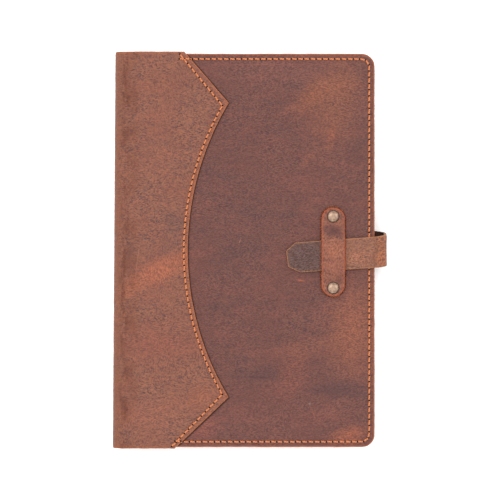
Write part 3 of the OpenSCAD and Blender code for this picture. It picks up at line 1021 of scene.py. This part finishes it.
# Marks on the spine leather are placed from the front cover's spine edge, as on the panels
F = FLAT_SHIFT
yoke_leather = leather(
    "spine_leather", (179, 110, 88), (101, 69, 64), (156, 95, 78), edge=(246, 142, 86), edge_mm=0.55,
    worn=0.18, fold_band=spine_band,
    streaks=[(10, 4, 0.4, (176, 108, 84)), (14, -60, 0.3, (124, 86, 80))],
    marks=[
        (F + 25, -13, 25, 28, 10, 0.9, (194, 114, 84)), (F + 38, -6, 12, 20, 7, 0.6, (182, 108, 82)),
        (F + 9, -23, 50, 15, 7, 0.55, (188, 112, 80)), (F + 10, -2, 90, 16, 5, 0.5, (108, 74, 68)),
        (F + 30, 96, -20, 24, 16, 0.35, (160, 98, 76)), (F + 25, -54, 5, 40, 18, 0.45, (172, 100, 80)),
        (F + 22, -96, 0, 34, 18, 0.6, (176, 110, 88)), (F + 52, -84, 40, 16, 12, 0.5, (178, 110, 84)),
        (F + 20, 48, 5, 26, 10, 0.3, (172, 110, 88)), (F + 34, 12, 80, 22, 9, 0.4, (122, 88, 80)),
        (F + 3, -18, 80, 5, 2, 0.7, (92, 58, 46)), (F + 50, 78, 60, 12, 8, 0.35, (176, 112, 84)),
    ],
    scratches_and_highlights=[
        (F + 13.9, -5, 83, 12, 0.5, 0.6, (196, 138, 110)),
        (F + 12.7, 21, -35, 4, 0.5, 0.5, (196, 134, 106)),
        (F + 6.4, -95.5, -5, 3, 0.6, 0.8, (206, 124, 86)),
        (F + 8.3, -92.3, 50, 1.3, 1.1, 0.8, (70, 48, 50)),
        (F + 24, -31, 10, 5, 0.4, 0.4, (196, 134, 106)), (F + 9, -66, 0, 9, 0.5, 0.4, (190, 118, 86)),
    ],
)
PANEL = dict(
    ridge=(148, 94, 84), pit=(98, 61, 57), cloud=(126, 79, 72), cloud_mm=34, bump_mm=0.05, worn=0.16,
    worn_mm=1.6, edge_mm=1.0, edge=(222, 124, 72), across=0.1, creased=0.26, crease=(160, 100, 80),
    streaks=[(9, 2, 0.45, (150, 92, 80)), (13, -4, 0.4, (104, 74, 73)), (5, 8, 0.25, (158, 98, 82))])
back_leather = leather(
    "back_panel_leather", extra=yoke_shadow, **PANEL,
    marks=[(96, 60, 15, 50, 24, 0.5, (154, 98, 82)), (120, -50, 80, 44, 22, 0.5, (108, 76, 74)),
           (84, -84, 5, 44, 14, 0.4, (158, 100, 84)), (134, 90, 30, 18, 8, 0.5, (172, 104, 78))],
    scratches_and_highlights=[(104, 22, 35, 7, 0.5, 0.4, (176, 118, 96)), (116, -14, -20, 4, 0.6, 0.5, (190, 112, 80))],
)
panel_leather = leather(
    "panel_leather", extra=front_shadow, **PANEL,
    marks=[
        (128, 84, 75, 44, 24, 0.75, (160, 100, 78)), (100, 104, 0, 60, 14, 0.45, (150, 98, 86)),
        (138, -46, 84, 42, 24, 0.9, (170, 104, 80)), (98, -98, 5, 60, 20, 0.35, (146, 92, 80)),
        (128, -80, -4, 26, 8, 0.85, (104, 72, 72)), (86, -72, 4, 34, 7, 0.6, (102, 72, 72)),
        (104, -70, 70, 24, 13, 0.5, (160, 94, 76)), (112, -56, 10, 30, 9, 0.5, (154, 98, 80)),
        (52, -102, 20, 20, 9, 0.7, (170, 100, 84)), (76, 20, 90, 60, 30, 0.35, (115, 79, 76)),
        (113, 88, 50, 22, 10, 0.42, (180, 108, 76)), (126, 95, 20, 22, 12, 0.4, (176, 108, 78)),
        (126, 66, 70, 12, 4, 0.5, (178, 106, 78)),
        (112, 52, 40, 10, 3, 0.4, (168, 102, 78)), (100, 80, 20, 12, 3, 0.3, (160, 100, 80)),
        (136, -106.5, 8, 18, 7, 0.9, (182, 106, 80)), (136, -30, 80, 20, 7, 0.5, (160, 98, 80)),
    ],
    scratches_and_highlights=[
        (72.9, 5, 70, 2, 0.5, 0.7, (200, 140, 110)), (99, 40, 60, 3, 0.6, 0.45, (168, 114, 94)),
        (82.5, -73.5, -2, 17, 1.0, 0.45, (84, 58, 62)), (143, -79, 0, 8, 1.0, 0.5, (84, 58, 62)),
        (108, -17.6, -8, 3.4, 0.7, 0.8, (206, 112, 76)), (98.9, -20.5, 25, 4, 0.35, 0.4, (170, 110, 90)),
        # The long thin light line at y 107.2 is a painted highlight along the step where the cover rises
        # over the notebook's board
        (104, 10, -70, 5, 0.4, 0.35, (164, 106, 86)), (84, 107.2, 0, 44, 0.5, 0.5, (172, 104, 88)),
        (115.5, -94.6, -72, 4, 0.4, 0.6, (190, 116, 90)), (113.3, -88.6, 0, 1, 1, 0.7, (160, 140, 140)),
    ],
)
# The strap's flesh side is painted darker than its own colour: partly its flesh colour, partly painted
# shade for the dark gap inside the loop
strap_leather = leather(
    "strap_leather", (186, 123, 97), (120, 80, 66), (166, 106, 84), contrast=0.34,
    edge=(232, 158, 108), edge_mm=0.5, worn=0.2, worn_mm=1.0, lining=(72, 38, 28),
    streaks=[(2.2, 58, 0.3, (150, 112, 100))],
    marks=[
        (-46, 0, 0, 34, 40, 1.0, (94, 73, 71)), (-36, 0, 0, 20, 40, 0.9, (98, 74, 71)),
        (3.5, 0, 90, 26, 3.5, 0.6, (170, 98, 62)), (0, 0, 90, 26, 2, 0.5, (128, 76, 54)),
        (6.5, 0, 90, 30, 4, 0.5, (170, 98, 62)), (-10, -2, 20, 12, 7, 0.4, (180, 112, 88)),
    ],
)
keeper_leather = leather(
    "keeper_leather", (188, 116, 94), (106, 66, 58), (160, 98, 80), across=0.9, bump_mm=0.08,
    edge=(224, 108, 60), edge_mm=0.75, worn_mm=1.6, ragged=1.7,
    streaks=[(4, 86, 0.45, (122, 76, 70)), (2.5, 88, 0.35, (204, 128, 98))],
    marks=[
        (0, 11, 0, 11, 5.5, 0.95, (98, 62, 64)), (1, 0, 20, 9, 9, 0.65, (194, 120, 90)),
        (0, -11, 0, 8, 9, 0.55, (180, 112, 90)), (3, -18, 60, 7, 5, 0.6, (116, 72, 66)),
        (0, 20, 0, 12, 9, 0.35, (140, 84, 72)),
    ],
)
inner_leather = leather(
    "inner_leather", (168, 110, 88), (112, 80, 72), (146, 94, 78), grain=0.4, bump_mm=0.06)
thread_finish = thread_material()
rivet_finish = rivet_material()
paper_finish = paper_material()
board_finish = board_material()
fibre_finish = fibre_material()


def dress(obj, material):
    obj.data.materials.clear()
    obj.data.materials.append(material)
    return obj


# ---- The pieces ----


def make_panel(front):
    """A cover's panel, its inner sleeve, and the thread of the seam that joins them."""
    body = "front" if front else "back"
    place, inner_place = on_cover(front), sleeve_place(front)
    outline = roughen(cover_outline(PANEL_START), 0.13, 5.0, 41 if front else 47)
    holes = edge_row()
    panel = leather_sheet(body + "_cover_panel", outline, PANEL_T, place, 2.1, 3, holes=holes,
                          relief=lambda u, v: 0.03 * wave(u, v, 5, 8))
    dress(panel, panel_leather if front else back_leather)
    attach(panel, body)
    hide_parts(body + "_panel")
    start = sleeve_low[0] - SPINE_X
    sleeve_outline = roughen(cover_outline(start), 0.13, 5.0, 61)
    sleeve_holes = [hole for hole in holes if hole[0] > start + 1.5]
    sleeve = leather_sheet(body + "_inner_sleeve", sleeve_outline, SLEEVE_T, inner_place, 2.4, 5,
                           holes=sleeve_holes, round_off=0.4)
    dress(sleeve, inner_leather)
    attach(sleeve, body)
    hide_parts(body + "_sleeve")
    inner_rows = split_rows(sleeve_holes, *on_surface(inner_place, sleeve_holes, 0.1))
    seam = thread(body + "_edge_thread", [on_surface(place, holes)] + inner_rows)
    dress(seam, thread_finish)
    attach(seam, body)
    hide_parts(body + "_edge_stitching")


def split_rows(holes, places, outward):
    """Parts of a row that are joined: a gap longer than two pitches starts a new part."""
    rows, first = [], 0
    for i in range(1, len(holes) + 1):
        if i == len(holes) or math.dist(holes[i], holes[i - 1]) > 2 * PITCH:
            rows.append((places[first:i], outward[first:i]))
            first = i
    return rows


def cut_level(whole, name, level, side):
    """A copy of the part of a sheet above a level (side 1) or below it (side -1), closed at the
    cut."""
    half = whole.copy()
    half.data = whole.data.copy()
    half.name = name
    bpy.context.scene.collection.objects.link(half)
    bm = bmesh.new()
    bm.from_mesh(half.data)
    cut = bmesh.ops.bisect_plane(
        bm, geom=bm.verts[:] + bm.edges[:] + bm.faces[:], dist=1e-6, plane_co=(0, 0, level * MM),
        plane_no=(0, 0, side), clear_inner=True)
    rim = [e for e in cut["geom_cut"] if isinstance(e, bmesh.types.BMEdge)]
    for face in bmesh.ops.holes_fill(bm, edges=rim)["faces"]:
        for e in face.edges:
            e.smooth = False
    bm.to_mesh(half.data)
    bm.free()
    return half


def make_yoke():
    """One sheet round the spine, cut at mid-spine into two halves, and the thread of each half's seam."""
    rows = {body: [yoke_row(side)] + corner_rows(side) for body, side in (("front", 1), ("back", -1))}
    order = (rows["front"][0], rows["back"][0], *rows["front"][1:], *rows["back"][1:])
    band = (HALF_SPINE - 0.6, HALF_SPINE + FOLD_L + 0.9, 0.65)
    whole = leather_sheet(
        "spine_wrap", roughen(yoke_outline(), 0.11, 3.0, 51), YOKE_T, around_spine, 1.9, 7,
        holes=[hole for row in order for hole in row],
        relief=lambda u, v: 0.07 * wave(u, v, 6, 9) + 0.04 * wave(u, v, 2.5, 10),
        aligned=[band, (-band[1], -band[0], band[2])])
    for side, body in ((1, "front"), (-1, "back")):
        half = cut_level(whole, body + "_spine_wrap", STACK / 2, side)
        dress(half, yoke_leather)
        if side < 0:
            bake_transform(half)
            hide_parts("back_yoke", "back_fold", "spine_leather")
        else:
            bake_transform(half)
            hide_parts("front_yoke", "front_fold", "spine_leather")
        seam = thread(body + "_spine_thread", [on_surface(around_spine, row) for row in rows[body]])
        dress(seam, thread_finish)
        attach(seam, body)
        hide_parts(body + "_yoke_stitching")
    bpy.data.objects.remove(whole)


def make_strap():
    """One strip, cut at the middle of its loop into two halves."""
    bend = (-1.0, LOOP_L + 1.0, 0.7)
    whole = leather_sheet("strap", strap_outline(), STRAP_T, along_strap, 1.2, 11, aligned=[bend],
                          relief=lambda s, t: 0.05 * wave(s, t, 3, 12))
    low, high = PATH[round(LOOP_L / PATH_STEP), 2], PATH[0, 2]
    for side, name in ((-1, "strap_root_half"), (1, "strap_tongue_half")):
        half = cut_level(whole, name, (low + high) / 2, side)
        dress(half, strap_leather)
        if side < 0:
            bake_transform(half)
            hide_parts("strap_root", "strap_loop")
        else:
            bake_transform(half)
            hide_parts("strap_tongue", "strap_loop")
    bpy.data.objects.remove(whole)


def make_keeper():
    """The keeper over the strap's end, with its loose fibres and its two rivets."""
    outline = keeper_outline()
    keeper = leather_sheet("keeper", outline, STRAP_T, keeper_place, 1.0, 13, relief=keeper_relief)
    dress(keeper, keeper_leather)
    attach(keeper, "front")
    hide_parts("strap_keeper")
    hairs = fibres("keeper_fibres", outline, keeper_place, STRAP_T, 17, 420, 1.3)
    dress(hairs, fibre_finish)
    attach(hairs, "front")
    for name, y, seed in (("lower_rivet", RIVET_Y[0], 0.0), ("upper_rivet", RIVET_Y[1], 3.7)):
        cap = rivet_cap(name, y, seed)
        dress(cap, rivet_finish)
        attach(cap, "front")
        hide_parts("rivet_caps")


def make_notebook():
    """The notebook in the sleeves: its leaves and its two boards."""
    leaves = notebook_block()
    dress(leaves, paper_finish)
    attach(leaves, "back")
    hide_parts("page_block")
    for body in ("front", "back"):
        board = rounded_board(body + "_board", "insert_" + body + "_board")
        dress(board, board_finish)
        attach(board, body)
        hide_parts("insert_" + body + "_board")
    # Two CAD pieces stay, with a material of their own
    for name, material in (("insert_spine", board_finish), ("rivet_posts", rivet_finish)):
        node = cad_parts[name]
        node.data.materials.clear()
        node.data.materials.append(material)
        co = np.array([v.co for v in node.data.vertices])
        store(node, "flat", "FLOAT_VECTOR", co)
        store(node, "radial", "FLOAT", np.full(len(co), 0.5))


# ---- Studio ----


FLOOR_HALF = 3000
# Just under the lowest point of the back cover, which sinks a little past the CAD's
FLOOR_Z = -0.7


def make_studio():
    """A pale floor under even white light, brighter from the upper left."""
    corners = [(x * FLOOR_HALF, y * FLOOR_HALF, 0) for x, y in ((-1, -1), (1, -1), (1, 1), (-1, 1))]
    floor = new_object("floor", corners, [(0, 1, 2, 3)])
    floor.location.z = FLOOR_Z * MM
    n = Nodes("pale_floor", 0.9, 0.1)
    patches = n.noise(n.add("ShaderNodeTexCoord", out=3), 400, 2.0)
    floor.data.materials.append(n.finish(n.mix(patches, (0.93, 0.93, 0.93, 1), (0.95, 0.95, 0.95, 1))))
    world = bpy.data.worlds.new("studio")
    world.use_nodes = True
    background = world.node_tree.nodes["Background"]
    background.inputs["Color"].default_value = (1, 1, 1, 1)
    background.inputs["Strength"].default_value = 1.75
    bpy.context.scene.world = world
    for name, place, size, power in (
            ("key", (-0.9, 0.7, 1.3), 0.9, 11), ("fill", (1.0, 0.5, 1.4), 1.1, 5)):
        data = bpy.data.lights.new(name, "AREA")
        data.size = size
        data.energy = power
        lamp = bpy.data.objects.new(name, data)
        lamp.location = place
        lamp.rotation_euler = (-Vector(place)).to_track_quat("-Z", "Y").to_euler()
        bpy.context.scene.collection.objects.link(lamp)
    view = bpy.context.scene.view_settings
    view.view_transform = "Standard"
    view.look = "None"


# The photograph's view: straight above the cover's middle, from far away.
FIELD_W = 0.289
CAMERA_Z = 1.6


def make_camera():
    data = bpy.data.cameras.new("camera")
    data.lens = data.sensor_width * (CAMERA_Z - FRONT_Z * MM) / FIELD_W
    data.clip_end = 20
    camera = bpy.data.objects.new("camera", data)
    camera.location = (0, 0, CAMERA_Z)
    bpy.context.scene.collection.objects.link(camera)
    bpy.context.scene.camera = camera


make_camera()
make_studio()
make_panel(front=True)
make_panel(front=False)
make_yoke()
make_strap()
make_keeper()
make_notebook()
